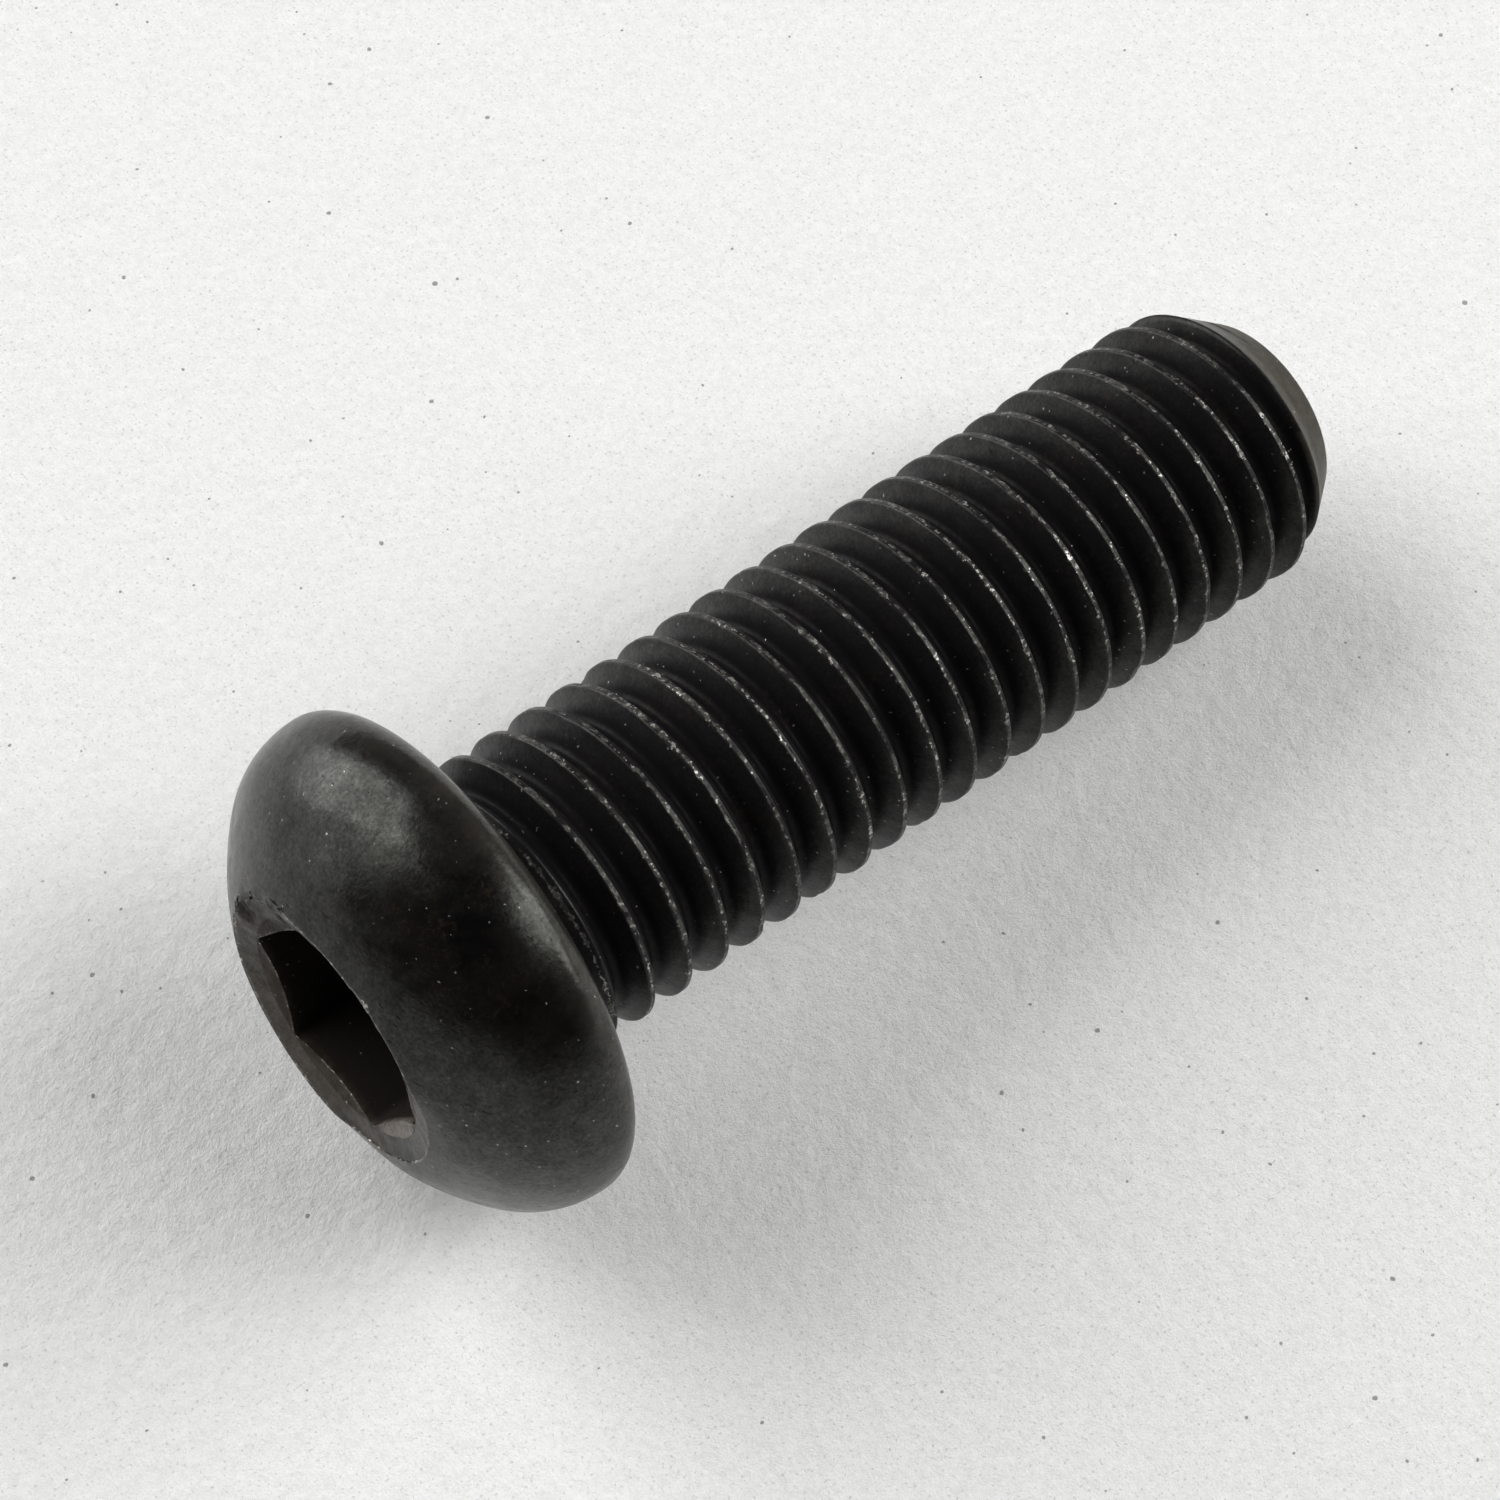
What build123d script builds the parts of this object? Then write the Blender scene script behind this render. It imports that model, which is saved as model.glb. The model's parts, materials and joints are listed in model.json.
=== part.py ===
"""Button socket head bolt, M12 x 1.75 x 40, cold formed and rolled from one piece of steel.

The bolt lies as it comes to rest: the rim of the head and the last full crest of the
thread both touch the ground, so its axis slopes down a little from the head to the tip.
The origin is the centre of the bearing face under the head, +Z is up, and the tip points
along +X. All sizes are in millimetres and degrees.

Sizes along the bolt are counted from the bearing face: positive towards the tip,
negative towards the crown of the head.
"""

from build123d import *
from math import asin, atan2, ceil, cos, degrees, hypot, radians, sin, tan
import os

# --- Thread --------------------------------------------------------------------------
thread_crest_diameter = 11.9  # M12 less the allowance of a rolled 6g thread
pitch = 1.75
flank_angle = 30.0  # half the angle of the metric thread form
length = 40.0  # bearing face to tip
crest_flat = pitch / 8
thread_depth_in_pitches = 0.61343  # basic metric form, with the rounded root of a screw
pitch_line_in_pitches = 0.6495  # how much smaller the pitch diameter is, in the same form
ridge_sink = 0.12  # how deep the foot of the ridge is sunk into the root cylinder

# --- Tip -----------------------------------------------------------------------------
tip_face_diameter = 8.3
tip_chamfer_length = 2.5
tip_edge_radius = 0.5

# --- Neck: the short stretch under the head that the rolling dies do not reach ---------
neck_length = 1.1
neck_fillet_radius = 0.6
run_out_angle = 30.0  # slope at which the crests fade down to the neck
root_run_out_angle = 45.0  # slope at which the roots rise to the neck
run_out_overlap = 0.1  # how far both slopes are sunk below the neck

# --- Head ----------------------------------------------------------------------------
head_diameter = 20.5
head_height = 6.6
crown_diameter = 11.2  # sharp circle where the dome meets the dished mouth of the socket
rim_radius = 4.25  # the full, round shoulder of the dome
rim_sweep = 45.0  # how far that shoulder turns before the flatter dome takes over
underside_radius = 1.25  # edge between the rim and the bearing face

# --- Socket --------------------------------------------------------------------------
across_flats = 8.0
socket_depth = 4.4  # crown to the ends of the flats
socket_corner_radius = 0.35
mouth_slope = 20.0  # the mouth is dished this much below the plane of the crown
punch_cone_angle = 75.0  # half the angle of the blunt cone at the bottom of the socket
corner_from_ground = 31.5  # turn from straight down to the first corner of the socket

# --- Worked out from the sizes above ---------------------------------------------------
crest_radius = thread_crest_diameter / 2
thread_depth = thread_depth_in_pitches * pitch
root_radius = crest_radius - thread_depth
foot_radius = root_radius - ridge_sink
neck_radius = crest_radius - pitch_line_in_pitches * pitch / 2  # the blank, before rolling
head_radius = head_diameter / 2

# Where the last full crest touches the ground, and the corner of it that does.
last_crest = length - tip_chamfer_length - crest_flat / 2
touching_corner = last_crest + crest_flat / 2

# The ground is the line that touches the round underside edge of the rim and that corner.
reach = touching_corner + underside_radius
rise = crest_radius - (head_radius - underside_radius)
rest_tilt = degrees(asin(underside_radius / hypot(reach, rise)) - atan2(rise, reach))
axis_direction = Vector(cos(radians(rest_tilt)), 0, -sin(radians(rest_tilt)))
ground_side = Vector(-sin(radians(rest_tilt)), 0, -cos(radians(rest_tilt)))
bolt_axis = Axis((0, 0, 0), axis_direction)

# Sections across the bolt are drawn on this plane, and profiles along it on the other,
# where x is the radius and y the distance along the bolt.
across = Plane(origin=(0, 0, 0), x_dir=ground_side, z_dir=axis_direction)
along = Plane(origin=(0, 0, 0), x_dir=ground_side, z_dir=ground_side.cross(axis_direction))


def across_at(distance):
    """The plane across the bolt at a distance from the bearing face."""
    return across.offset(distance)


def ridge_helix(radius, start, turn):
    """One turn of a helix about Z that leaves from the ground side at the given start."""
    return Helix(pitch, pitch, radius, center=(0, 0, start + turn * pitch), mode=Mode.PRIVATE)


def helical_ridge(start, turns):
    """The thread's ridge as one closed solid, about Z, centred on start at its first end.

    Each turn has four ruled faces between four helices: the foot and the crest on one
    flank, and the crest and the foot on the other. Two flat faces close the ends.
    """
    half_crest = crest_flat / 2
    half_foot = half_crest + (crest_radius - foot_radius) * tan(radians(flank_angle))
    corners = [
        (foot_radius, -half_foot),
        (crest_radius, -half_crest),
        (crest_radius, half_crest),
        (foot_radius, half_foot),
    ]
    faces = []
    for turn in range(turns):
        rails = [ridge_helix(radius, start + side, turn) for radius, side in corners]
        for rail, next_rail in zip(rails, rails[1:] + rails[:1]):
            faces.append(Face.make_surface_from_curves(rail, next_rail))
        if turn == 0:
            faces.append(Face(Wire.make_polygon([rail @ 0 for rail in rails], close=True)))
    faces.append(Face(Wire.make_polygon([rail @ 1 for rail in rails], close=True)))
    return Solid(Shell(faces))


# --- Threaded shank ------------------------------------------------------------------
turns_to_neck = int((last_crest - neck_length / 2) / pitch)
turns_past_tip = ceil((length - last_crest + pitch / 2) / pitch)
first_crest = last_crest - turns_to_neck * pitch

with BuildPart() as root_cylinder:
    with BuildSketch(across_at(neck_length / 2)):
        Circle(root_radius)
    extrude(amount=length)

# The crests stay inside this turned shape: a slope up from the neck, the crest
# diameter, and the chamfer and rounded edge of the tip.
sunk_neck_radius = neck_radius - run_out_overlap
run_out_length = (crest_radius - sunk_neck_radius) / tan(radians(run_out_angle))
with BuildPart() as shank_envelope:
    with BuildSketch(along):
        with BuildLine():
            FilletPolyline(
                (0, 0),
                (sunk_neck_radius, 0),
                (sunk_neck_radius, neck_length),
                (crest_radius, neck_length + run_out_length),
                (crest_radius, length - tip_chamfer_length),
                (tip_face_diameter / 2, length),
                (0, length),
                radius=[0, 0, 0, 0, 0, tip_edge_radius, 0],
                close=True,
            )
        make_face()
    revolve(axis=bolt_axis)

with BuildPart() as threaded_shank:
    add(root_cylinder.part)
    with Locations(across.location):
        add(helical_ridge(first_crest, turns_to_neck + turns_past_tip))
    add(shank_envelope.part, mode=Mode.INTERSECT)

# --- Head and neck, turned in one profile --------------------------------------------
sunk_root_radius = root_radius - run_out_overlap
root_run_out_length = (neck_radius - sunk_root_radius) / tan(radians(root_run_out_angle))
crown = (crown_diameter / 2, -head_height)
widest = (head_radius, -underside_radius)
dish_centre = (0, -head_height + crown_diameter / 2 * tan(radians(mouth_slope)))

with BuildPart() as bolt:
    with BuildSketch(along):
        with BuildLine():
            shoulder = JernArc(widest, (0, -1), rim_radius, -rim_sweep)
            TangentArc(shoulder @ 1, crown, tangent=shoulder % 1)
            Line(crown, dish_centre)
            underside = JernArc(widest, (0, 1), underside_radius, 90)
            bearing_edge = (neck_radius + neck_fillet_radius, 0)
            Line(underside @ 1, bearing_edge)
            fillet_arc = JernArc(bearing_edge, (-1, 0), neck_fillet_radius, -90)
            Polyline(
                fillet_arc @ 1,
                (neck_radius, neck_length),
                (sunk_root_radius, neck_length + root_run_out_length),
                (0, neck_length + root_run_out_length),
                dish_centre,
            )
        make_face()
    revolve(axis=bolt_axis)

    # The hexagon socket, with the blunt cone that the forming punch leaves at its foot.
    with BuildSketch(across_at(-head_height)):
        socket = RegularPolygon(
            across_flats / 2, side_count=6, major_radius=False, rotation=corner_from_ground
        )
        fillet(socket.vertices(), socket_corner_radius)
    extrude(amount=socket_depth, mode=Mode.SUBTRACT)
    socket_floor = socket_depth - head_height
    with BuildSketch(along):
        with BuildLine():
            Polyline(
                (0, socket_floor),
                (across_flats / 2, socket_floor),
                (0, socket_floor + across_flats / 2 / tan(radians(punch_cone_angle))),
                close=True,
            )
        make_face()
    revolve(axis=bolt_axis, mode=Mode.SUBTRACT)

    add(threaded_shank.part)

bolt.part.label = "bolt"

os.makedirs("parts", exist_ok=True)
export_step(bolt.part, "parts/bolt.step")

print(f"rests tilted {rest_tilt:.4f} degrees; {turns_to_neck} turns from {first_crest:.2f} mm")
print(f"solids {len(bolt.part.solids())}, volume {bolt.part.volume:.1f} mm3")
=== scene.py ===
# %% [markdown]
# # A blackened button head bolt
#
# The bolt is an M12 x 40 button head screw with a hexagon socket. It was cold formed from
# wire, its thread was rolled between dies, and it was then blackened in a hot salt bath.
# The black skin is thinnest on sharp edges, so bare steel shows along every crest of the
# thread and round the mouth of the socket.
#
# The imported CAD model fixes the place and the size. This notebook makes one fine mesh of the
# same form on the same axis, and gives it the finish of the real bolt.

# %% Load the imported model
import json
from collections import namedtuple
from math import asin, atan2, cos, degrees, pi, radians, sin, tan

import bmesh
import bpy
import numpy as np
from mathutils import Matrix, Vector, noise


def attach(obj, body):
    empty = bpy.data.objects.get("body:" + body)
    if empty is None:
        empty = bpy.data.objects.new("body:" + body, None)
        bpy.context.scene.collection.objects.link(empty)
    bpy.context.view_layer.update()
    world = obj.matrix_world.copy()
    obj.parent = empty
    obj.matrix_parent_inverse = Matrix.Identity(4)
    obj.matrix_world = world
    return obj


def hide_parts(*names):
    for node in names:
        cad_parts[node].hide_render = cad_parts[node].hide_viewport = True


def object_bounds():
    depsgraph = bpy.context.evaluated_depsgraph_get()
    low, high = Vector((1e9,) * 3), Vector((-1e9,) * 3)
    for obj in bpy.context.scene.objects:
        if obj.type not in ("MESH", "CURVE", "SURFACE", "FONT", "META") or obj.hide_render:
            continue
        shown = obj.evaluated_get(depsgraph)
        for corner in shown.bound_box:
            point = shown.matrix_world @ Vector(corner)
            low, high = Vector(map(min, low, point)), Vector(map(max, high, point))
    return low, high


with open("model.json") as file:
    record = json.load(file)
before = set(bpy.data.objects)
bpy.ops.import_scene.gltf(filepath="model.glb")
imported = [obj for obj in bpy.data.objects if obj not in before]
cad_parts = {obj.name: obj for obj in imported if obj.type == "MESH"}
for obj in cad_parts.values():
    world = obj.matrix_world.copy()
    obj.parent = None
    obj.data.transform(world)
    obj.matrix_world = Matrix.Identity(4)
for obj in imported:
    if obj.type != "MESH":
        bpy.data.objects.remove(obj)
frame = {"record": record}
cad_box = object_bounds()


def box_in_mm(box):
    """The two corners of a box in millimetres, rounded for printing."""
    return [[round(1000 * value, 2) for value in corner] for corner in box]


print("CAD box, mm:", box_in_mm(cad_box))

# %% [markdown]
# ## The bolt's own axes
#
# The bolt lies on its rim and on its last crest, so its axis slopes. A point of the bolt is
# easiest to give by three numbers of a lathe: how far along the axis it is, how far out from
# the axis, and how far round. The axis comes from the record's mount for the thread, and the
# turn is counted from the side that faces the ground.

# %% Lathe coordinates to the shared frame
MM = 0.001
shank_mount = next(m for m in frame["record"]["mounts"] if m["name"] == "threaded_shank")
bearing_centre = np.array(shank_mount["pos_m"])
axis = np.array(shank_mount["axis"])
axis = axis / np.linalg.norm(axis)
ground_side = np.array([0, 0, -1]) + axis * axis[2]
ground_side = ground_side / np.linalg.norm(ground_side)
third_side = np.cross(axis, ground_side)


def in_frame(along, out, turn):
    """Metres in the shared frame, from millimetres along and out and a turn in radians."""
    along, out, turn = np.broadcast_arrays(along, out, turn)
    across = np.cos(turn)[..., None] * ground_side + np.sin(turn)[..., None] * third_side
    return bearing_centre + MM * (along[..., None] * axis + out[..., None] * across)


print("slope of the axis, degrees:", round(degrees(asin(-axis[2])), 2))

# %% [markdown]
# ## Sizes
#
# These repeat the sizes of the CAD source, in millimetres. Places along the bolt are counted
# from the bearing face: positive to the tip, negative to the crown of the head.

# %% Sizes of the shank
CREST_RADIUS = 5.95
PITCH = 1.75
FLANK_ANGLE = radians(30)
LENGTH = 40.0
CREST_FLAT = PITCH / 8
THREAD_DEPTH = 0.61343 * PITCH
ROOT_RADIUS = CREST_RADIUS - THREAD_DEPTH
TIP_FACE_RADIUS = 4.15
TIP_CHAMFER = 2.5
TIP_EDGE = 0.5
NECK_RADIUS = CREST_RADIUS - 0.6495 * PITCH / 2
NECK_LENGTH = 1.1
NECK_FILLET = 0.6
CREST_RUN_OUT = radians(30)
ROOT_RUN_OUT = radians(45)
RUN_OUT_OVERLAP = 0.1
LAST_CREST = LENGTH - TIP_CHAMFER - CREST_FLAT / 2
print("crest, root and neck radius, mm:", CREST_RADIUS, round(ROOT_RADIUS, 3), round(NECK_RADIUS, 3))

# %% Sizes of the head and the socket
HEAD_RADIUS = 10.25
HEAD_HEIGHT = 6.6
CROWN_RADIUS = 5.6
RIM_RADIUS = 4.25
RIM_SWEEP = radians(45)
UNDERSIDE_RADIUS = 1.25
ACROSS_FLATS = 8.0
SOCKET_DEPTH = 4.4
SOCKET_CORNER = 0.35
MOUTH_SLOPE = radians(20)
PUNCH_CONE = radians(75)
FIRST_CORNER = radians(31.5)
print("head, mm:", 2 * HEAD_RADIUS, "wide and", HEAD_HEIGHT, "high")

# %% [markdown]
# ## The thread as one long ribbon
#
# A thread could be made with the Screw modifier, which turns a V round the axis, but then its
# ends stop dead. Here the surface is a ribbon that winds round the shank: each row of points
# follows the helix, so crests and roots are never cut across by the mesh, and the radius at
# each point is a formula. Where the ribbon runs past the neck or the tip, its points are
# held back on the last ring and merged.

# %% Columns round the bolt and rows across one pitch
COLUMNS = 168
COLUMN_TURN = 2 * pi / COLUMNS
ROW_SHARES = [0.03, 0.0625, 0.09, 0.15, 0.22, 0.29, 0.36, 0.43]
ROWS = np.array([-0.5] + [-share for share in reversed(ROW_SHARES)] + [0.0] + ROW_SHARES)
print("columns in one turn:", COLUMNS, "rows in one pitch:", len(ROWS))


# %% The form of one pitch
def thread_radius(from_crest):
    """Radius at a distance along the bolt from the middle of the nearest crest."""
    distance = np.abs(from_crest)
    flank = CREST_RADIUS - (distance - CREST_FLAT / 2) / tan(FLANK_ANGLE)
    return np.clip(flank, ROOT_RADIUS, CREST_RADIUS)


print("radius at crest and root, mm:", thread_radius(PITCH * np.array([0, 0.5])).round(3))


# %% Its limits at the neck and the tip
def tip_radius(along):
    """The turned chamfer of the tip."""
    slope = (CREST_RADIUS - TIP_FACE_RADIUS) / TIP_CHAMFER
    return CREST_RADIUS - slope * np.clip(along - (LENGTH - TIP_CHAMFER), 0, None)


def crest_run_out(along):
    """The crests fade down to the neck."""
    start = NECK_RADIUS - RUN_OUT_OVERLAP
    return start + tan(CREST_RUN_OUT) * (along - NECK_LENGTH)


def root_run_out(along):
    """The roots rise to the neck."""
    return NECK_RADIUS - tan(ROOT_RUN_OUT) * (along - NECK_LENGTH)


def shank_radius(along, from_crest, wear):
    """The thread inside its chamfer and its run-outs, with the crests worn down a little."""
    threads = thread_radius(from_crest) - wear
    threads = np.minimum(threads, np.minimum(tip_radius(along), crest_run_out(along)))
    return np.maximum(threads, np.minimum(root_run_out(along), NECK_RADIUS))


print("radius where the chamfer ends, mm:", tip_radius(np.array(LENGTH)).round(3))

# %% [markdown]
# The ribbon starts before the neck and ends past the tip, so that both ends of the thread
# fade out on their own.

# %% Length of the ribbon
chamfer_slope = atan2(CREST_RADIUS - TIP_FACE_RADIUS, TIP_CHAMFER)
edge_tangent = TIP_EDGE * tan((pi / 2 - chamfer_slope) / 2)
tip_edge_start = LENGTH - edge_tangent * cos(chamfer_slope)
windings = int((LENGTH - NECK_LENGTH) / PITCH) + 3
ribbon_columns = windings * COLUMNS + 1
first_crest = LAST_CREST - PITCH * (int((LAST_CREST - NECK_LENGTH) / PITCH) + 2)
print("windings of the ribbon:", windings)

# %% [markdown]
# Rolled crests are never quite even. Each crest is a fold of metal that just closed, so its
# height wanders by some hundredths of a millimetre, and handling leaves small dents in it.

# %% Unevenness along the crest
SEED = 12
MEAN_WEAR = 0.016
SLOW_SPAN = 60
SLOW_WEAR = 0.008
QUICK_SPAN = 7
QUICK_WEAR = 0.006
rng = np.random.default_rng(SEED)


def wandering(count, span, amount):
    """Smooth random values in a row: noise averaged over a span of columns."""
    raw = rng.normal(size=count + span)
    smooth = np.convolve(raw, np.hanning(span + 2)[1:-1], mode="valid")[:count]
    return amount * smooth / smooth.std()


crest_wear = MEAN_WEAR + wandering(ribbon_columns, SLOW_SPAN, SLOW_WEAR)
crest_wear += wandering(ribbon_columns, QUICK_SPAN, QUICK_WEAR)
print("mean crest wear, mm:", crest_wear.mean().round(3))

# %% Dents in the crest
DENTS = 90
DENT_DEPTHS = (0.03, 0.09)
DENT_REACHES = (1.0, 3.5)
DEEPEST_WEAR = 0.12
columns = np.arange(ribbon_columns)
for middle, depth, reach in zip(
    rng.integers(0, ribbon_columns, DENTS),
    rng.uniform(*DENT_DEPTHS, DENTS),
    rng.uniform(*DENT_REACHES, DENTS),
):
    crest_wear += depth * np.exp(-(((columns - middle) / reach) ** 2))
crest_wear = np.clip(crest_wear, 0, DEEPEST_WEAR)
print("crest wear, mm:", crest_wear.min().round(3), "to", crest_wear.max().round(3))

# %% [markdown]
# The grid is now filled. The helper moves the point nearest to each edge, such as where a
# flank meets the chamfer, onto that edge, so that the edge stays a clean line.


# %% Points on an edge
def snapped_to(edge_radius, along, from_crest, wear):
    """Moves the row of points nearest to where the thread meets an edge onto it."""
    gap = thread_radius(from_crest) - wear - edge_radius(along)
    crossing = gap[:, :-1] * gap[:, 1:] < 0
    share = np.abs(gap[:, :-1]) / (np.abs(gap[:, :-1]) + np.abs(gap[:, 1:]) + 1e-12)
    step = along[:, 1:] - along[:, :-1]
    move_low = np.where(crossing & (share < 0.5), share * step, 0)
    move_high = np.where(crossing & (share >= 0.5), (share - 1) * step, 0)
    shift = np.zeros_like(along)
    shift[:, :-1] += move_low
    shift[:, 1:] += move_high
    return along + shift, from_crest + shift


# %% Wind the ribbon
WORN_SHARE = 0.16  # how far from the middle of the crest it is worn down, in pitches
crest_place = first_crest + PITCH * columns[:, None] / COLUMNS
row_wear = crest_wear[:, None] * np.clip(1 - np.abs(ROWS) / WORN_SHARE, 0, 1)
row_along = crest_place + PITCH * ROWS
row_crest = np.broadcast_to(PITCH * ROWS, row_along.shape)
for edge in (tip_radius, crest_run_out, root_run_out):
    row_along, row_crest = snapped_to(edge, row_along, row_crest, row_wear)
row_along = np.clip(row_along, NECK_LENGTH, tip_edge_start)
row_out = shank_radius(row_along, row_crest, row_wear)
row_turn = np.broadcast_to(COLUMN_TURN * columns[:, None], row_along.shape)
ribbon_points = in_frame(row_along, row_out, row_turn)
print("columns and rows of the ribbon:", ribbon_points.shape[:2])

# %% [markdown]
# ## Rings for the head, the socket and the tip
#
# Everything that was turned or pressed is a stack of rings. Round the socket the rings have
# to become a hexagon, so each ring carries a share from 0, even, to 1, where its columns
# crowd most towards the corners of the hexagon.

# %% The hexagon in lathe coordinates
CROWDING = 0.125


def hexagon_radius(turn):
    """Distance from the axis to the wall of the socket, with its rounded corners."""
    from_corner = np.abs((turn - FIRST_CORNER + pi / 6) % (pi / 3) - pi / 6)
    flat = ACROSS_FLATS / 2 / np.cos(pi / 6 - from_corner)
    corner_centre = (ACROSS_FLATS / 2 - SOCKET_CORNER) / cos(pi / 6)
    offset = corner_centre * np.sin(from_corner)
    inside = np.clip(SOCKET_CORNER**2 - offset**2, 0, None)
    rounded = corner_centre * np.cos(from_corner) + np.sqrt(inside)
    arc_end = atan2(SOCKET_CORNER * sin(pi / 6), corner_centre + SOCKET_CORNER * cos(pi / 6))
    return np.where(from_corner < arc_end, rounded, flat)


def crowded(turn, share):
    """Turns that crowd towards the hexagon's corners by the given share."""
    return turn - share * CROWDING * np.sin(6 * (turn - FIRST_CORNER))


print("socket across the corners, mm:", round(2 * float(hexagon_radius(FIRST_CORNER)), 2))

# %% [markdown]
# The head's outline is a row of arcs, each tangent to the last: fillet under the head, flat
# bearing face, rounded underside edge, full shoulder and the flatter dome up to the crown.


# %% Arcs
def arc(centre_along, centre_out, radius, start, end, steps):
    """Points of an arc, with angles in radians from straight out towards the tip."""
    angle = np.linspace(start, end, steps + 1)
    return centre_along + radius * np.sin(angle), centre_out + radius * np.cos(angle)


shoulder_out = HEAD_RADIUS - RIM_RADIUS
shoulder_end = np.array(
    [-UNDERSIDE_RADIUS - RIM_RADIUS * sin(RIM_SWEEP), shoulder_out + RIM_RADIUS * cos(RIM_SWEEP)]
)
crown = np.array([-HEAD_HEIGHT, CROWN_RADIUS])
inward = np.array([sin(RIM_SWEEP), -cos(RIM_SWEEP)])
chord = crown - shoulder_end
dome_radius = chord @ chord / (2 * chord @ inward)
dome_centre = shoulder_end + dome_radius * inward
dome_end = atan2(crown[0] - dome_centre[0], crown[1] - dome_centre[1])
print("radius of the dome, mm:", round(dome_radius, 2))

# %% Outline of the head from the neck to the crown
edge_out = HEAD_RADIUS - UNDERSIDE_RADIUS
outline = [
    (np.linspace(NECK_LENGTH, NECK_FILLET, 4), np.full(4, NECK_RADIUS)),
    arc(NECK_FILLET, NECK_RADIUS + NECK_FILLET, NECK_FILLET, pi, 3 * pi / 2, 8),
    (np.zeros(6), np.linspace(NECK_RADIUS + NECK_FILLET, edge_out, 6)),
    arc(-UNDERSIDE_RADIUS, edge_out, UNDERSIDE_RADIUS, pi / 2, 0, 12),
    arc(-UNDERSIDE_RADIUS, shoulder_out, RIM_RADIUS, 0, -RIM_SWEEP, 16),
    arc(*dome_centre, dome_radius, -RIM_SWEEP, dome_end, 18),
]
head_along = np.concatenate([part[0][1:] for part in outline])
head_out = np.concatenate([part[1][1:] for part in outline])
print("points of the outline:", len(head_along))

# %% Rings from the neck to the crown
CROWDING_START = HEAD_RADIUS - 1.0
round_turn = COLUMN_TURN * np.arange(COLUMNS)
rings = []
ring_paint = []


def add_ring(along, out, share, worn=0.0, mouth=0.0, sheared=0.0):
    """Keeps one ring at the crowded turns, with the three numbers painted on it."""
    turn = crowded(round_turn, share)
    along, out, turn = np.broadcast_arrays(along, out, turn)
    rings.append((along, out, turn))
    ring_paint.append((worn, mouth, sheared))


for along, out in zip(head_along[:-1], head_out[:-1]):
    share = np.clip((CROWDING_START - out) / (CROWDING_START - CROWN_RADIUS), 0, 1)
    add_ring(along, out, share**2 if along < -UNDERSIDE_RADIUS else 0.0)
print("rings from neck to crown:", len(rings))

# %% [markdown]
# The press leaves the crown and the socket's edge as small rounded corners, not as knife
# edges. They catch the light as thin lines, so they get rings of their own. On one side the
# punch tore the crown, and there its edge wanders outwards.

# %% The crown's edge
EDGE_ROUNDING = 0.09
EDGE_BULGE = 0.25
CROWN_WORN = 1.12
CROWN_FADE = 0.15
TORN_MIDDLE = radians(130)
TORN_SPAN = radians(26)
TORN_WIDTH = 1.3  # in spans: how far from the middle the tear ends
TORN_DEPTH = 0.42
RAGGED_SPAN = 4
RAGGED_MEAN = 0.5
RAGGED_WANDER = 0.55
RAGGED_MOST = 1.3
from_torn = (round_turn - TORN_MIDDLE + pi) % (2 * pi) - pi
torn = np.clip(TORN_WIDTH - np.abs(from_torn) / TORN_SPAN, 0, 1) * TORN_DEPTH
ragged = np.clip(RAGGED_MEAN + wandering(COLUMNS, RAGGED_SPAN, RAGGED_WANDER), 0, RAGGED_MOST)
dome_slope = dome_end + pi / 2
for step in np.linspace(-1, 1, 5):
    before = max(-step, 0) ** 2
    after = max(step, 0) ** 2
    bulge = EDGE_BULGE * (1 - step**2)
    along = before * sin(dome_slope) + after * sin(MOUTH_SLOPE) + bulge
    out = before * cos(dome_slope) - after * cos(MOUTH_SLOPE)
    crown_along = -HEAD_HEIGHT + EDGE_ROUNDING * along + torn * ragged * sin(dome_slope)
    crown_out = CROWN_RADIUS + EDGE_ROUNDING * out + torn * ragged * cos(dome_slope)
    add_ring(crown_along, crown_out, 1.0, CROWN_WORN - CROWN_FADE * abs(step), (step + 1) / 2)
print("deepest tear, mm:", (torn * ragged).max().round(2))

# %% The dished mouth
MOUTH_WORN = 0.3
INNER_WORN = 0.85
INNER_MOST_WORN = 1.15
socket_wall = hexagon_radius(crowded(round_turn, 1.0))
inner_edge = socket_wall + EDGE_ROUNDING
outer_edge = CROWN_RADIUS - EDGE_ROUNDING


def dish(out):
    """The pressed ring that slopes down from the crown to the socket."""
    return -HEAD_HEIGHT + (CROWN_RADIUS - out) * tan(MOUTH_SLOPE)


for step in np.linspace(0.12, 1, 9):
    out = outer_edge + step * (inner_edge - outer_edge)
    add_ring(dish(out), out, 1.0, INNER_WORN if step == 1 else MOUTH_WORN, 1.0)
for angle in np.linspace(0.25, 1, 4) * pi / 2:
    along = dish(inner_edge) + EDGE_ROUNDING * (1 - cos(angle))
    out = inner_edge - EDGE_ROUNDING * sin(angle)
    add_ring(along, out, 1.0, INNER_MOST_WORN - angle / pi, 1.0)
print("rings to the socket's edge:", len(rings))

# %% The socket
SOCKET_CENTRE = 0.25
socket_floor = SOCKET_DEPTH - HEAD_HEIGHT
wall_top = dish(inner_edge) + EDGE_ROUNDING
for step in np.linspace(0.08, 1, 12):
    add_ring(wall_top + step * (socket_floor - wall_top), socket_wall, 1.0)
for out in np.linspace(ACROSS_FLATS / 2, SOCKET_CENTRE, 10):
    add_ring(socket_floor + (ACROSS_FLATS / 2 - out) / tan(PUNCH_CONE), out, 1.0)
foot_of_socket = socket_floor + ACROSS_FLATS / 2 / tan(PUNCH_CONE)
head_rings = rings
head_paint = ring_paint
print("rings of the head and socket:", len(head_rings))

# %% [markdown]
# The tip is sheared and then chamfered. Its edge is rounded and its flat end is plain.

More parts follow.
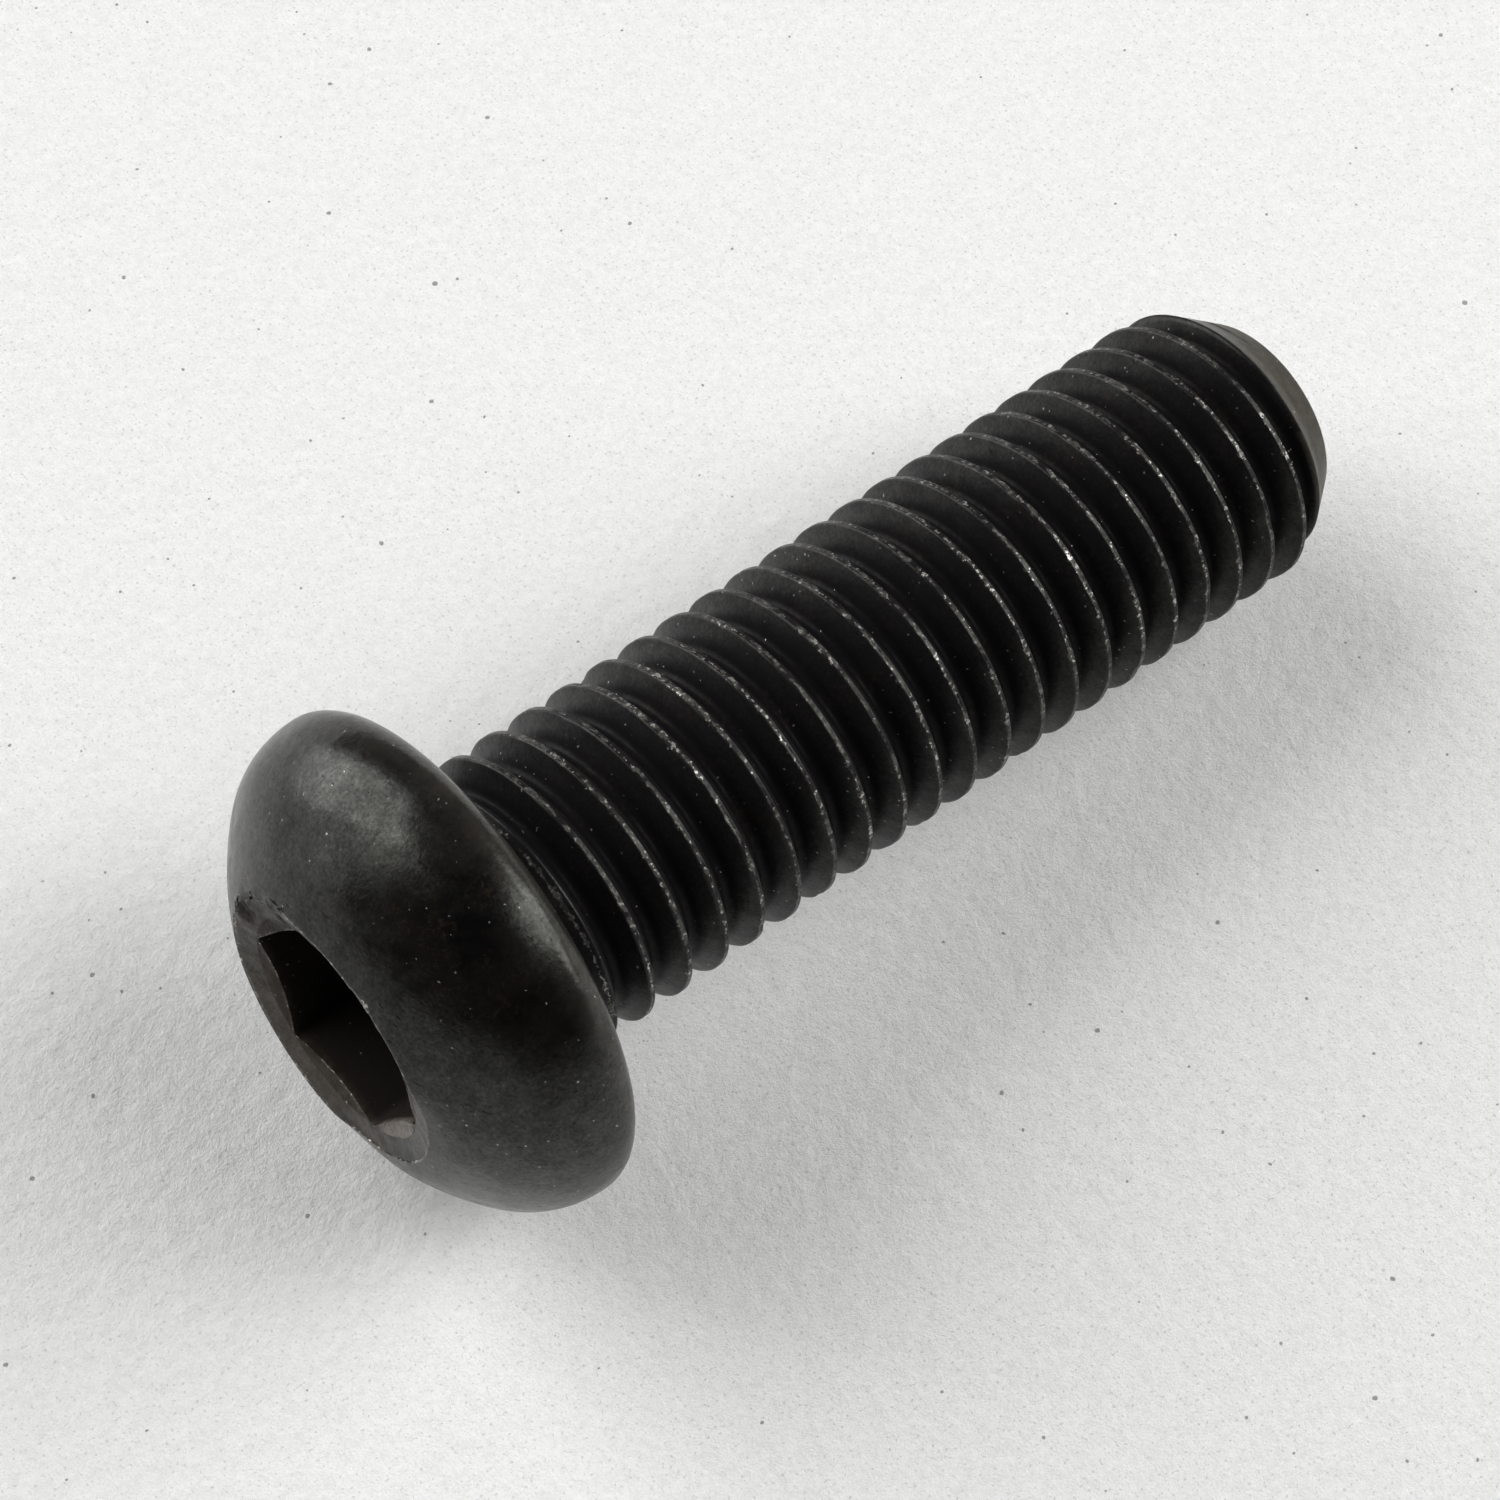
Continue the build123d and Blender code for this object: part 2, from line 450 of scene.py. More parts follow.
# %% Rings of the tip
TIP_CENTRE = 0.4
rings = []
ring_paint = []
tip_arc_out = tip_radius(tip_edge_start) - TIP_EDGE * cos(chamfer_slope)
for angle in np.linspace(chamfer_slope, pi / 2, 7)[1:]:
    along = LENGTH - TIP_EDGE + TIP_EDGE * sin(angle)
    add_ring(along, tip_arc_out + TIP_EDGE * cos(angle), 0.0, sheared=1.0)
for out in np.linspace(tip_arc_out, TIP_CENTRE, 8)[1:]:
    add_ring(LENGTH, out, 0.0, sheared=1.0)
tip_rings = rings
tip_paint = ring_paint
print("rings of the tip:", len(tip_rings))

# %% [markdown]
# ## One closed mesh
#
# The ribbon and the two stacks of rings are joined point to point, and points that fell on
# the same place are merged, which leaves one closed skin. Three numbers are painted on each
# point for the finish: how worn it is, whether it lies in the dished mouth, and whether it
# lies on the sheared tip.


# %% Faces and points of a grid
def grid_faces(first, columns, rows, closed):
    """Four-cornered faces of a grid whose points lie column by column."""
    count = columns if closed else columns - 1
    strips = []
    for here in range(count):
        there = (here + 1) % columns
        base = np.arange(rows - 1)
        low = first + here * rows + base
        high = first + there * rows + base
        strips.append(np.stack([low, high, high + 1, low + 1], axis=1))
    return np.concatenate(strips)


def ring_points(stack):
    """Points of a stack of rings, column by column."""
    return np.stack([in_frame(*ring) for ring in stack], axis=1)


# %% The ribbon
WEAR_REACH = 0.4
FADE_START = 0.2  # above the root, where a low crest starts to count as worn
FADE_LENGTH = 0.5
SHEAR_START = 0.6
TOUCHING = 0.002
rows = len(ROWS)
crest_nearness = np.clip(1 - PITCH * np.abs(ROWS) / WEAR_REACH, 0, 1)
full_height = np.clip((row_out - ROOT_RADIUS - FADE_START) / FADE_LENGTH, 0, 1)
ribbon_worn = crest_nearness * full_height
past_start = row_along > LENGTH - TIP_CHAMFER + SHEAR_START
on_chamfer = past_start & (row_out > tip_radius(row_along) - TOUCHING)
ribbon_paint = np.stack([ribbon_worn, np.zeros_like(ribbon_worn), on_chamfer], axis=-1)

points = [ribbon_points.reshape(-1, 3)]
paint = [ribbon_paint.reshape(-1, 3)]
faces = [grid_faces(0, ribbon_columns, rows, False)]
seam = np.arange(ribbon_columns - COLUMNS - 1)
last_row = seam * rows + rows - 1
next_turn = (seam + COLUMNS) * rows
faces.append(np.stack([last_row, last_row + rows, next_turn + rows, next_turn], axis=1))
total = len(points[0])
print("points of the ribbon:", total)

# %% The rings
neck_ring = (np.full(COLUMNS, NECK_LENGTH), np.full(COLUMNS, NECK_RADIUS), round_turn)
chamfer_end = np.full(COLUMNS, tip_edge_start)
chamfer_ring = (chamfer_end, tip_radius(chamfer_end), round_turn)
last_points = []
for first_ring, stack, stack_paint, at_tip in (
    (neck_ring, head_rings, head_paint, False),
    (chamfer_ring, tip_rings, tip_paint, True),
):
    grid = ring_points([first_ring] + stack)
    first_paint = (0.0, 0.0, 1.0 if at_tip else 0.0)
    points.append(grid.reshape(-1, 3))
    paint.append(np.tile(np.array([first_paint] + stack_paint), (COLUMNS, 1)))
    ring_count = grid.shape[1]
    grid_of_faces = grid_faces(total, COLUMNS, ring_count, True)
    faces.append(grid_of_faces if at_tip else grid_of_faces[:, ::-1])
    last_points.append(total + np.arange(COLUMNS) * ring_count + ring_count - 1)
    total += len(points[-1])
print("points with the rings:", total)

# %% Close both ends
points.append(np.stack([in_frame(foot_of_socket, 0, 0), in_frame(LENGTH, 0, 0)]))
paint.append(np.zeros((2, 3)))
foot, end = last_points
fans = [
    np.stack([foot, np.roll(foot, -1), np.full(COLUMNS, total)], axis=1)[:, ::-1],
    np.stack([end, np.roll(end, -1), np.full(COLUMNS, total + 1)], axis=1),
]
points = np.concatenate(points)
paint = np.concatenate(paint)
print("points before merging:", len(points))

# %% Make the mesh
skin = bpy.data.meshes.new("bolt_skin")
all_faces = np.concatenate(faces).tolist() + np.concatenate(fans).tolist()
skin.from_pydata(points.tolist(), [], all_faces)
for number, name in enumerate(("worn", "mouth", "sheared")):
    layer = skin.attributes.new(name, "FLOAT", "POINT")
    layer.data.foreach_set("value", paint[:, number].astype(np.float32))
print("faces before merging:", len(all_faces))

# %% Merge and check it
SAME_PLACE = 2e-7
NO_AREA = 1e-8
work = bmesh.new()
work.from_mesh(skin)
bmesh.ops.remove_doubles(work, verts=work.verts, dist=SAME_PLACE)
bmesh.ops.dissolve_degenerate(work, edges=work.edges, dist=NO_AREA)
loose = [v for v in work.verts if not v.link_faces]
bmesh.ops.delete(work, geom=loose, context="VERTS")
open_edges = [e for e in work.edges if len(e.link_faces) != 2]
volume = work.calc_volume(signed=True)
work.to_mesh(skin)
work.free()
print("edges without two faces:", len(open_edges), "volume, mm3:", round(volume * 1e9, 1))

# %% [markdown]
# ## Dents and a forged skin
#
# A forged head is slightly wavy, and this one has been knocked: a nick on the crown, a rough
# stretch where the punch tore the rim of the mouth, and small dents in the mouth. At the
# lower end the crown's edge is worn soft. Each mark only pushes the skin inwards, so the bolt
# stays inside its CAD size.

# %% Marks on the crown and in the mouth
Mark = namedtuple("Mark", "along out turn reach depth")
marks = [
    Mark(-6.6, 5.6, -162, 0.22, 0.10),
    Mark(-6.6, 5.6, -154, 0.12, 0.05),
    Mark(-6.6, 5.6, 112, 0.30, 0.10),
    Mark(-6.6, 5.6, 119, 0.22, 0.12),
    Mark(-6.6, 5.6, 126, 0.30, 0.09),
    Mark(-6.6, 5.6, 134, 0.20, 0.12),
    Mark(-6.6, 5.6, 141, 0.26, 0.08),
    Mark(-6.6, 5.6, 149, 0.16, 0.07),
    Mark(-6.3, 4.9, -35, 0.28, 0.10),
    Mark(-6.4, 5.2, -60, 0.20, 0.08),
    Mark(-6.2, 4.8, -22, 0.16, 0.06),
]
for turn in range(-110, -10, 6):
    marks.append(Mark(-HEAD_HEIGHT, CROWN_RADIUS, turn, 0.80, 0.10))
print("marks by hand:", len(marks))

# %% Pits where the punch tore the rim
PITS = 34
PIT_SLOPE = 0.3
for turn, out, reach, depth in zip(
    rng.uniform(104, 154, PITS),
    rng.uniform(4.7, 5.9, PITS),
    rng.uniform(0.10, 0.28, PITS),
    rng.uniform(0.05, 0.16, PITS),
):
    marks.append(Mark(-HEAD_HEIGHT + PIT_SLOPE * (CROWN_RADIUS - out), out, turn, reach, depth))
print("marks with the pits:", len(marks))

# %% Waves and roughness
WAVE_SIZE = 2.6
WAVE_DEPTH = 0.035
WAVE_EDGE = -0.05
WAVE_START = 0.5  # how far behind the bearing face the waves are at full depth
ROUGH_SIZE = 0.45
ROUGH_DEPTH = 0.05
MOUTH_START = 0.4
count = len(skin.vertices)
place = np.empty(count * 3)
skin.vertices.foreach_get("co", place)
place = place.reshape(-1, 3)
along_of = (place - bearing_centre) @ axis / MM
mouth_of = np.empty(count, dtype=np.float32)
skin.attributes["mouth"].data.foreach_get("value", mouth_of)


def uneven(point, size):
    """A smooth random number round a half, with grains of a size in millimetres."""
    return 0.5 + 0.5 * noise.noise(Vector(point / MM / size))


push = np.zeros(count)
for number in np.nonzero(along_of < WAVE_EDGE)[0]:
    push[number] = WAVE_DEPTH * uneven(place[number], WAVE_SIZE)
push *= np.clip(-along_of / WAVE_START, 0, 1)
for number in np.nonzero(mouth_of > MOUTH_START)[0]:
    push[number] += ROUGH_DEPTH * uneven(place[number], ROUGH_SIZE)
print("deepest wave, mm:", push.max().round(3))

# %% Push the skin in
outwards = np.empty(count * 3)
skin.vertex_normals.foreach_get("vector", outwards)
outwards = outwards.reshape(-1, 3)
for mark in marks:
    centre = in_frame(mark.along, mark.out, radians(mark.turn))
    distance = np.linalg.norm(place - centre, axis=1) / MM
    push += mark.depth * np.exp(-((distance / mark.reach) ** 2))
place -= outwards * push[:, None] * MM
skin.vertices.foreach_set("co", place.ravel())
skin.update()
skin.shade_smooth()
skin.calc_loop_triangles()
print("triangles:", len(skin.loop_triangles), "deepest push, mm:", push.max().round(3))

# %% Put the bolt in the scene
bolt = bpy.data.objects.new("bolt_blackened", skin)
bpy.context.scene.collection.objects.link(bolt)
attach(bolt, "root")
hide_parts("bolt")
print("object:", bolt.name)

# %% [markdown]
# ## Black oxide finish
#
# A black oxide skin is thin and slightly oily. It could be one dark glossy colour, but a real
# one is cloudy: near black in the thread, charcoal and faintly brown where it was handled.
# The finish is built from small recipes, each a few nodes, that mix towards bare steel.

# %% The material
finish = bpy.data.materials.new("black_oxide")
finish.use_nodes = True
shader = finish.node_tree.nodes["Principled BSDF"]

# The recipes below add their nodes to this tree.
nodes = finish.node_tree.nodes
links = finish.node_tree.links
object_place = nodes.new("ShaderNodeTexCoord").outputs["Object"]
print("material:", finish.name)


# %% Sums with nodes
def feed(socket, value):
    """Sets a socket to a number or a colour, or links it to another socket."""
    if isinstance(value, bpy.types.NodeSocket):
        links.new(value, socket)
    else:
        socket.default_value = value


def calculate(operation, first, second=0.0):
    """One Math node."""
    step = nodes.new("ShaderNodeMath")
    step.operation = operation
    feed(step.inputs[0], first)
    feed(step.inputs[1], second)
    return step.outputs[0]


def times(first, *others):
    """Values multiplied together."""
    for other in others:
        first = calculate("MULTIPLY", first, other)
    return first


def plus(first, *others):
    """Values added together."""
    for other in others:
        first = calculate("ADD", first, other)
    return first


def rest_of(value):
    """What is left when a value is taken from one."""
    return calculate("SUBTRACT", 1.0, value)


# %% [markdown]
# Three kinds of recipe do the rest: ranges and colours, clouds of noise, and places on the
# bolt. The clouds are sized in millimetres, so their numbers can be read off a real bolt.


# %% Ranges and colours
def between(value, low, high, to_low=0.0, to_high=1.0):
    """Maps a value from one range to another, smoothly and without overshoot."""
    step = nodes.new("ShaderNodeMapRange")
    step.interpolation_type = "SMOOTHSTEP"
    for socket, number in zip(step.inputs, (value, low, high, to_low, to_high)):
        feed(socket, number)
    return step.outputs[0]


def mixed(share, first, second):
    """Mixes two colours."""
    step = nodes.new("ShaderNodeMix")
    step.data_type = "RGBA"
    feed(step.inputs[0], share)
    feed(step.inputs[6], first)
    feed(step.inputs[7], second)
    return step.outputs[2]


# %% Clouds and bump
def cloud(grain_mm, detail=2.0, roughness=0.5, stretch=(1, 1, 1)):
    """Noise with grains of about this many millimetres."""
    sized = nodes.new("ShaderNodeVectorMath")
    sized.operation = "MULTIPLY"
    feed(sized.inputs[0], object_place)
    sized.inputs[1].default_value = [s / (grain_mm * MM) for s in stretch]
    step = nodes.new("ShaderNodeTexNoise")
    step.inputs["Scale"].default_value = 1.0
    step.inputs["Detail"].default_value = detail
    step.inputs["Roughness"].default_value = roughness
    feed(step.inputs["Vector"], sized.outputs[0])
    return step.outputs["Fac"]


def add_bump(to_shader, height, strength, depth_mm):
    """Lets a height tilt the surface's shading."""
    bump = nodes.new("ShaderNodeBump")
    bump.inputs["Strength"].default_value = strength
    bump.inputs["Distance"].default_value = depth_mm * MM
    feed(bump.inputs["Height"], height)
    feed(to_shader.inputs["Normal"], bump.outputs[0])


# %% Places on the bolt
def painted(name):
    """A number painted on the mesh."""
    step = nodes.new("ShaderNodeAttribute")
    step.attribute_name = name
    return step.outputs["Fac"]


def along_side(direction):
    """Millimetres from the bearing face's centre along a direction."""
    step = nodes.new("ShaderNodeVectorMath")
    step.operation = "DOT_PRODUCT"
    feed(step.inputs[0], object_place)
    step.inputs[1].default_value = list(direction / MM)
    return step.outputs["Value"]


def near(along, out, turn, far, close):
    """One within the close distance of a place on the bolt, fading to nothing at the far one."""
    away = nodes.new("ShaderNodeVectorMath")
    away.operation = "DISTANCE"
    feed(away.inputs[0], object_place)
    away.inputs[1].default_value = list(in_frame(along, out, radians(turn)))
    return between(away.outputs["Value"], far * MM, close * MM)


place_along = along_side(axis)
side_ground = along_side(ground_side)
side_third = along_side(third_side)
squares = plus(times(side_ground, side_ground), times(side_third, side_third))
place_out = calculate("SQRT", squares)
on_head = between(place_along, 0.3, -0.3)
on_thread = rest_of(on_head)
print("nodes for places:", len(nodes))

# %% [markdown]
# The head has a dry, cloudy charcoal skin, dustier in the socket and under the rim. The
# thread is oilier and close to black. A faint brown bloom lies over both.

# %% Oxide of the head and the thread
THREAD_BLACK = (0.0108, 0.0098, 0.0110, 1)
HEAD_BLACK = (0.0026, 0.0022, 0.0026, 1)
CHARCOAL = (0.0070, 0.0062, 0.0052, 1)
SOCKET_DUST = (0.021, 0.018, 0.016, 1)
RIM_DUST = (0.025, 0.023, 0.019, 1)
cloudy = between(cloud(2.2, 4.0, 0.6), 0.35, 0.65)
head_colour = mixed(cloudy, HEAD_BLACK, CHARCOAL)
in_socket = times(on_head, between(place_out, 4.72, 4.66))
head_colour = mixed(in_socket, head_colour, SOCKET_DUST)
dusty = between(cloud(0.8, 4.0, 0.65), 0.35, 0.6, 0.55, 1.0)
under_rim = times(between(place_along, -2.0, -0.6), between(place_out, 8.2, 9.2), dusty)
head_colour = mixed(under_rim, head_colour, RIM_DUST)
oxide = mixed(on_head, THREAD_BLACK, head_colour)
print("nodes with the oxide:", len(nodes))

# %% Brown bloom
BROWN_BLOOM = (0.032, 0.022, 0.014, 1)
BLOOM_SHARE = 0.5
speckled = between(cloud(0.2, 2.0, 0.7), 0.45, 0.7)
bloom = times(between(cloud(1.6, 5.0, 0.65), 0.48, 0.66), speckled)
oxide = mixed(times(bloom, BLOOM_SHARE), oxide, BROWN_BLOOM)
print("nodes with the bloom:", len(nodes))

# %% [markdown]
# In the dished mouth the key has rubbed the skin brown and grey. The rubbing fades where the
# mouth runs into the dome at the lower end, and it is darker where the punch tore the rim.

# %% Rubbed mouth of the socket
RUBBED_BROWN = (0.028, 0.020, 0.013, 1)
RUBBED_GREY = (0.052, 0.044, 0.036, 1)
FADED_TURN = -56
rub = between(cloud(0.5, 4.0, 0.65), 0.35, 0.7)
mouth_colour = mixed(rub, RUBBED_BROWN, RUBBED_GREY)
faded = near(-6.6, 5.5, FADED_TURN, 2.3, 1.2)
in_mouth = times(painted("mouth"), rest_of(faded))
rub_share = between(cloud(1.1, 3.0, 0.6), 0.25, 0.5, 0.55, 1.0)
oxide = mixed(times(in_mouth, rub_share), oxide, mouth_colour)
print("nodes with the mouth:", len(nodes))

# %% Torn rim
TORN_BROWN = (0.012, 0.008, 0.006, 1)
torn_cloud = between(cloud(0.35, 4.0, 0.7), 0.40, 0.60, 0.35, 1.0)
near_tear = times(near(-6.4, 5.2, 124, 2.7, 1.5), in_mouth)
oxide = mixed(times(near_tear, torn_cloud), oxide, TORN_BROWN)
print("nodes with the torn rim:", len(nodes))

# %% [markdown]
# Beside the lowest flat of the socket the mouth has a lighter lip. It fills the half moon
# between the flat and the circle through the socket's corners, and a dark fold lies next
# to it.

# %% Lip and fold
LIP_GREY = (0.170, 0.148, 0.132, 1)
LIP_TURN = -58
LIP_OUT = 4.66
FOLD_TURN = -40
FOLD_OUT = LIP_OUT + 0.10
FOLD_SHARE = 0.8
lip_cloud = between(cloud(0.30, 3.0, 0.6), 0.36, 0.56, 0.50, 1.0)
half_moon = between(place_out, LIP_OUT + 0.04, LIP_OUT - 0.04)
lip = times(near(-6.15, 4.35, LIP_TURN, 2.1, 1.3), lip_cloud, half_moon, painted("mouth"))
oxide = mixed(lip, oxide, LIP_GREY)
from_fold = calculate("ABSOLUTE", calculate("SUBTRACT", place_out, FOLD_OUT))
fold = times(between(from_fold, 0.11, 0.03), near(-6.2, 4.7, FOLD_TURN, 1.5, 0.9))
oxide = mixed(times(fold, FOLD_SHARE), oxide, TORN_BROWN)
print("nodes with the lip:", len(nodes))

# %% [markdown]
# The chamfer and the end of the tip were sheared, and their skin is thinner and greyer.

# %% Sheared tip
SHEARED_GREY = (0.060, 0.054, 0.041, 1)
SHEARED_DARK = (0.040, 0.036, 0.026, 1)
tip_colour = mixed(between(cloud(0.7, 4.0, 0.65), 0.3, 0.7), SHEARED_GREY, SHEARED_DARK)
oxide = mixed(painted("sheared"), oxide, tip_colour)
print("nodes with the tip:", len(nodes))

# %% [markdown]
# Rubbed steel shows in a broken line along each crest, on the crown, at the socket's edge and
# at the nick. On one side of the thread the crest line is painted fainter: painted shade for
# the way the light falls there, not less wear.

# %% Where the skin is rubbed
RUBBED = (0.085, 0.081, 0.074, 1)
RUBBED_SHARE = 0.9
RUBBED_SOFTNESS = 0.06
SIDE_SHADE_STRENGTH = 0.7
wear_limit = between(cloud(1.1, 3.0, 0.65), 0.33, 0.67, 1.06, 0.79)
ragged_edge = between(cloud(0.24, 2.0, 0.6), 0.3, 0.7, 0.17, -0.17)
wear_limit = plus(wear_limit, ragged_edge)
rubbed = between(painted("worn"), plus(wear_limit, -RUBBED_SOFTNESS), wear_limit)
nicked = near(-6.6, 5.6, -158, 0.36, 0.20)
rubbed = calculate("MAXIMUM", rubbed, nicked)
patchy = between(cloud(0.35, 2.0, 0.6), 0.30, 0.62, 0.25, 1.0)
# Painted shade: from here on the rubbed line, and the bare steel in it, are fainter on one side of
# the thread, for the way the light falls there.
side_painted_shade = times(between(side_third, 1.0, 5.0), between(place_along, 0.0, 1.0), SIDE_SHADE_STRENGTH)
rubbed = times(rubbed, patchy, rest_of(side_painted_shade))
colour = mixed(times(rubbed, RUBBED_SHARE), oxide, RUBBED)
print("nodes with the rubbed edges:", len(nodes))

# %% [markdown]
# Inside the rubbed line, and in scattered specks, the steel is bare and bright.

# %% Bare steel
STEEL = (0.56, 0.54, 0.51, 1)
FLECK_SHARE = 0.6
BARE_METAL = 0.9
glint = between(cloud(0.17, 1.0, 0.6), 0.545, 0.605)
glint_patches = between(cloud(2.7, 2.0, 0.5), 0.4, 0.6, 0.25, 1.0)
bare = times(rubbed, glint, glint_patches)
fleck = between(cloud(0.15, 0.0, 0.5), 0.83, 0.87)
bare = calculate("MAXIMUM", bare, times(fleck, FLECK_SHARE))
feed(shader.inputs["Base Color"], mixed(bare, colour, STEEL))
feed(shader.inputs["Metallic"], times(bare, BARE_METAL))
print("nodes with the steel:", len(nodes))

# %% [markdown]
# How sharply the skin mirrors is as uneven as its colour. It is cloudy at three sizes, it is
# weak deep in the thread, in the socket and at the tear, and fine scratches cut through it.

# %% Roughness
THREAD_ROUGHER = 0.11
smudge = between(cloud(1.3, 3.0, 0.6), 0.3, 0.7, 0.22, 0.30)
rougher = between(on_head, 0.0, 1.0, THREAD_ROUGHER, 0.0)
feed(shader.inputs["Roughness"], plus(smudge, rougher))
print("nodes with the roughness:", len(nodes))

# %% Clouds of gloss
grainy = between(cloud(0.15, 2.0, 0.7), 0.3, 0.7, 0.25, 0.49)
blotchy = between(cloud(0.45, 3.0, 0.65), 0.35, 0.65, 0.88, 1.08)
cloudy_gloss = between(cloud(1.1, 5.0, 0.65), 0.33, 0.67, 0.70, 1.10)
gloss = times(grainy, blotchy, cloudy_gloss)
print("nodes with the clouds of gloss:", len(nodes))

# %% Where the gloss is weak
ROOT_GLOSS = 0.2
THREAD_GLOSS = 0.68
SOCKET_GLOSS = 0.25
TORN_GLOSS = 0.30
SCRATCH_GLOSS = 0.35
SPECULAR_TINT = (0.98, 1.0, 0.91, 1)
in_root = times(between(place_out, CREST_RADIUS - 0.45, CREST_RADIUS - 0.95), on_thread)
scratch = between(cloud(0.10, 0.0, 0.5, (1, 0.05, 1)), 0.80, 0.84)
crossing_scratch = between(cloud(0.12, 0.0, 0.5, (0.6, 0.06, 1)), 0.80, 0.84)
scratch = calculate("MAXIMUM", scratch, crossing_scratch)
for where, share in (
    (in_root, ROOT_GLOSS),
    (on_thread, THREAD_GLOSS),
    (in_socket, SOCKET_GLOSS),
    (near_tear, TORN_GLOSS),
    (scratch, SCRATCH_GLOSS),
):
    gloss = times(gloss, between(where, 0.0, 1.0, 1.0, share))
feed(shader.inputs["Specular IOR Level"], gloss)
shader.inputs["Specular Tint"].default_value = SPECULAR_TINT
print("nodes with the gloss:", len(nodes))

# %% [markdown]
# Up close the skin has the fine grain of shot and scale. It is too fine for the mesh, so it
# is bump.

# %% Fine grain
GRAIN_STRENGTH = 0.35
GRAIN_DEPTH = 0.02
pores = times(cloud(0.11, 2.0, 0.6), 0.5)
raised_steel = times(bare, 1.2)
shot_marks = cloud(0.33, 2.0, 0.6)
shallow_waves = times(cloud(0.9, 3.0, 0.6), 1.6)
grain = plus(pores, raised_steel, shot_marks, shallow_waves)
add_bump(shader, grain, GRAIN_STRENGTH, GRAIN_DEPTH)
skin.materials.append(finish)
print("nodes in the finish:", len(nodes))

# %% [markdown]
# ## Floor, light and camera
#
# The bolt lies on plain white paper. Paper could be a flat white, but under low side light
# its fibres show as a faint grain, and the grain also gives the eye a scale.

# %% Floor
FLOOR_REACH = 4.0
floor_z = cad_box[0].z
corners = [(-1, -1), (1, -1), (1, 1), (-1, 1)]
floor_corners = [(FLOOR_REACH * x, FLOOR_REACH * y, floor_z) for x, y in corners]
floor_mesh = bpy.data.meshes.new("floor")
floor_mesh.from_pydata(floor_corners, [], [(0, 1, 2, 3)])
floor = bpy.data.objects.new("floor", floor_mesh)
bpy.context.scene.collection.objects.link(floor)
print("height of the floor, mm:", round(floor_z / MM, 2))

# %% Paper with its fibres
PAPER_SHADE = (0.865, 0.865, 0.855, 1)
PAPER_WHITE = (0.965, 0.965, 0.957, 1)
PAPER_ROUGHNESS = 0.9
PAPER_GLOSS = 0.1
BUMP_STRENGTH = 0.6
BUMP_DEPTH = 0.12
paper = bpy.data.materials.new("paper")
paper.use_nodes = True
paper_shader = paper.node_tree.nodes["Principled BSDF"]

# From here the recipes add their nodes to the paper.
nodes = paper.node_tree.nodes
links = paper.node_tree.links
object_place = nodes.new("ShaderNodeTexCoord").outputs["Object"]
fibre = times(cloud(0.32, 4.0, 0.7), 0.5)
pulp = times(cloud(0.10, 2.0, 0.75), 0.5)
paper_height = plus(fibre, pulp)
dimples = times(cloud(0.9, 2.0, 0.5), 1.2)
paper_colour = mixed(between(paper_height, 0.36, 0.64), PAPER_SHADE, PAPER_WHITE)
paper_shader.inputs["Roughness"].default_value = PAPER_ROUGHNESS
paper_shader.inputs["Specular IOR Level"].default_value = PAPER_GLOSS
add_bump(paper_shader, plus(paper_height, dimples), BUMP_STRENGTH, BUMP_DEPTH)
floor_mesh.materials.append(paper)
print("nodes with the fibres:", len(nodes))

# %% Dots and dirt in the paper
DOT_GREY = (0.52, 0.52, 0.50, 1)
DOT_WHITE = (0.995, 0.995, 0.99, 1)
DIRT_BROWN = (0.16, 0.15, 0.14, 1)
DARK_DOT_SHARE = 0.45
DIRT_SHARE = 0.75
dark_dot = times(between(cloud(0.15, 0.0, 0.5), 0.70, 0.77), DARK_DOT_SHARE)
light_dot = between(cloud(0.16, 0.0, 0.5), 0.30, 0.24)
dirt = times(between(cloud(0.42, 0.0, 0.5), 0.85, 0.875), DIRT_SHARE)
paper_colour = mixed(dark_dot, paper_colour, DOT_GREY)
paper_colour = mixed(light_dot, paper_colour, DOT_WHITE)
paper_colour = mixed(dirt, paper_colour, DIRT_BROWN)
feed(paper_shader.inputs["Base Color"], paper_colour)
print("nodes with the dots:", len(nodes))

# %% [markdown]
# The windows light only the paper near the bolt. Further off, the paper is lifted to white
# for the rays that look at it or are mirrored, so that every view ends in a white background
# and no extra light falls on the bolt.

# %% White background
NEAR_LIFT = 0.03
FAR_LIFT = 0.93
LIFT_START = 0.30
LIFT_END = 0.95
rays = nodes.new("ShaderNodeLightPath")
seen = calculate("MAXIMUM", rays.outputs["Is Camera Ray"], rays.outputs["Is Glossy Ray"])
seen = calculate("MAXIMUM", seen, rays.outputs["Is Transmission Ray"])
from_bolt = nodes.new("ShaderNodeVectorMath")
from_bolt.operation = "LENGTH"
feed(from_bolt.inputs[0], object_place)
lift = between(from_bolt.outputs["Value"], LIFT_START, LIFT_END, NEAR_LIFT, FAR_LIFT)
paper_shader.inputs["Emission Color"].default_value = (1, 1, 0.99, 1)
feed(paper_shader.inputs["Emission Strength"], times(seen, lift))
print("nodes in the paper:", len(nodes))

# %% [markdown]
# A large window stands low on the left, with the lit wall beside it, and a smaller one on the
# right, with a patch of light above it. A faint pale wall faces them, and the room is dim. A
# black bolt shows its form by what it mirrors, so bright sides and a dark middle draw the
# dome better than light from everywhere.

